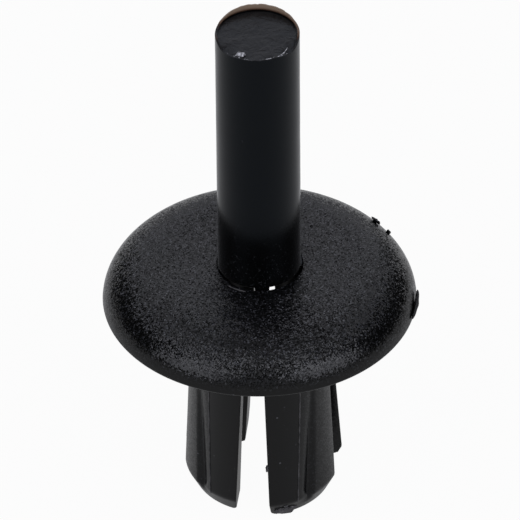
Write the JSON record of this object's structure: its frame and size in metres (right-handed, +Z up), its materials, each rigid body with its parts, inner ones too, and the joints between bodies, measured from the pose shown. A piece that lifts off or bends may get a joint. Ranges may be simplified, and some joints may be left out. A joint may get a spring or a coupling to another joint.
{
  "type": "plastic push rivet",
  "caption": "Black nylon push rivet: a domed round head on a split prong shank, with a raised drive pin that is pushed flush to spread the prongs.",
  "frame": {"origin": "on the rivet's axis, in the plane of the four prong tips, which it stands on", "axes": "+Z up along the axis, from the prong tips to the pin's end; prongs centred on X and Y, slots on the diagonals"},
  "size_m": [0.018, 0.018, 0.0322],
  "materials": {
    "grained_nylon": "moulded black nylon, fine spark-eroded grain on the head, satin on the prongs",
    "smooth_nylon": "moulded black nylon, smooth satin"
  },
  "bodies": {
    "rivet": {"rivet_body": "grained_nylon"},
    "pin": {"push_pin": "smooth_nylon"}
  },
  "joints": [
    {"name": "pin_push", "type": "slide", "parent": "rivet", "child": "pin", "axis": [0, 0, -1], "range_m": [0, 0.0163]}
  ]
}
